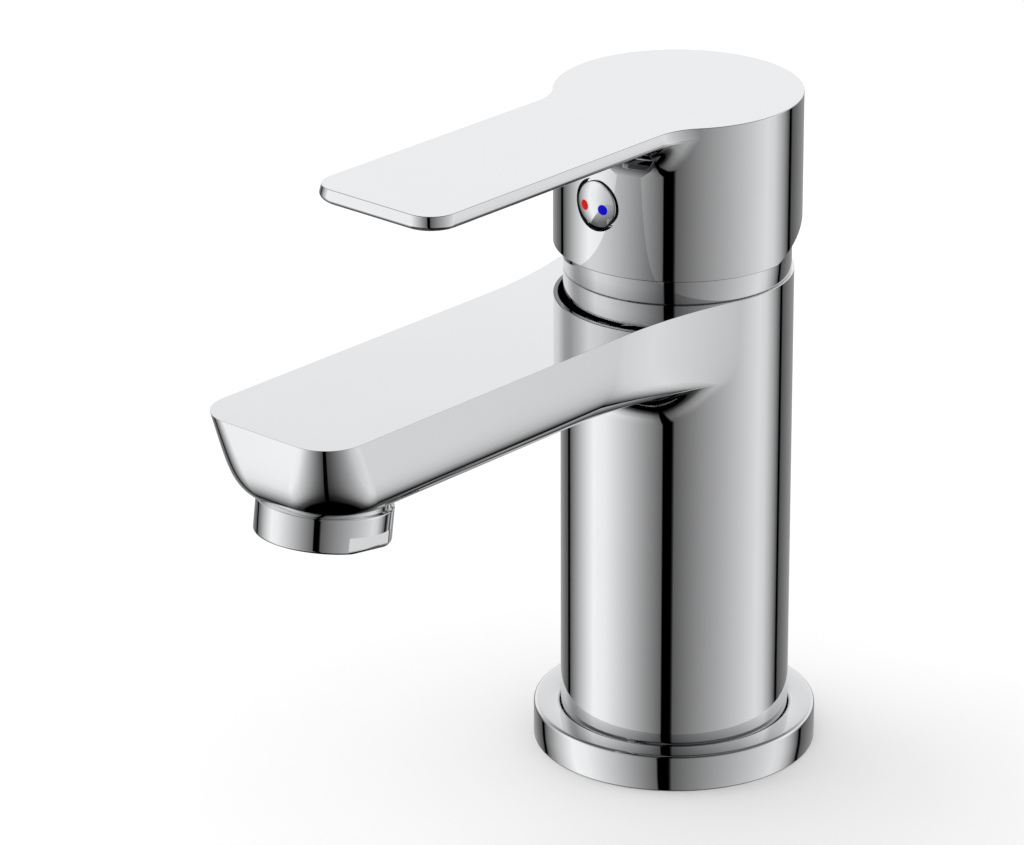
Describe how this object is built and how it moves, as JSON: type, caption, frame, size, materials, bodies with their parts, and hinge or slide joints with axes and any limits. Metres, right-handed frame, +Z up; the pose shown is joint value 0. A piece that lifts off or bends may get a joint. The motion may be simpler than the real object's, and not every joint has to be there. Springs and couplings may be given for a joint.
{
  "type": "bathroom mixer faucet",
  "caption": "Chrome single-lever basin mixer: round column on a base flange, flat square spout with aerator, cap with a flat lever and a red and blue index button.",
  "frame": {"origin": "middle of the deck face, under the base flange, on the column axis", "axes": "+Z up along the column; the spout and lever point to -Y, towards the user; +X is the user's right-hand, cold side"},
  "size_m": [0.056, 0.143, 0.1352],
  "materials": {
    "chrome": "polished",
    "brass": "machined",
    "steel": "satin",
    "rubber": "matte",
    "white_plastic": "matte",
    "grey_plastic": "satin",
    "blue_plastic": "satin",
    "white_ceramic": "lapped",
    "red_mark": "gloss",
    "blue_mark": "gloss"
  },
  "bodies": {
    "root": {"body": "chrome", "base_flange": "chrome", "base_gasket": "rubber", "aerator_housing": "chrome", "aerator_insert": "white_plastic", "aerator_washer": "rubber", "cartridge_base": "blue_plastic", "port_seals": "rubber", "disc_seal": "rubber", "fixed_disc": "white_ceramic", "cartridge_housing": "grey_plastic", "housing_seal": "rubber", "retaining_nut": "brass", "cover_seal": "rubber", "cover_ring": "chrome"},
    "rotor": {"rotor": "white_plastic", "pivot_pin": "steel"},
    "disc": {"disc_carrier": "blue_plastic", "moving_disc": "white_ceramic"},
    "handle": {"stem": "brass", "handle": "chrome", "set_screw": "steel", "index_button": "chrome", "hot_mark": "red_mark", "cold_mark": "blue_mark"}
  },
  "joints": [
    {"name": "turn", "type": "hinge", "parent": "root", "child": "rotor", "pos_m": [0, 0, 0.1], "axis": [0, 0, 1], "range_deg": [-45, 45]},
    {"name": "lift", "type": "hinge", "parent": "rotor", "child": "handle", "pos_m": [0, 0, 0.106], "axis": [-1, 0, 0], "range_deg": [0, 22]},
    {"name": "disc_slide", "type": "slide", "parent": "rotor", "child": "disc", "axis": [0, -1, 0], "range_m": [0, 0.00505]}
  ],
  "couplings": [
    {"joint": "disc_slide", "follows": "lift", "m_per_rad": 0.013119}
  ]
}
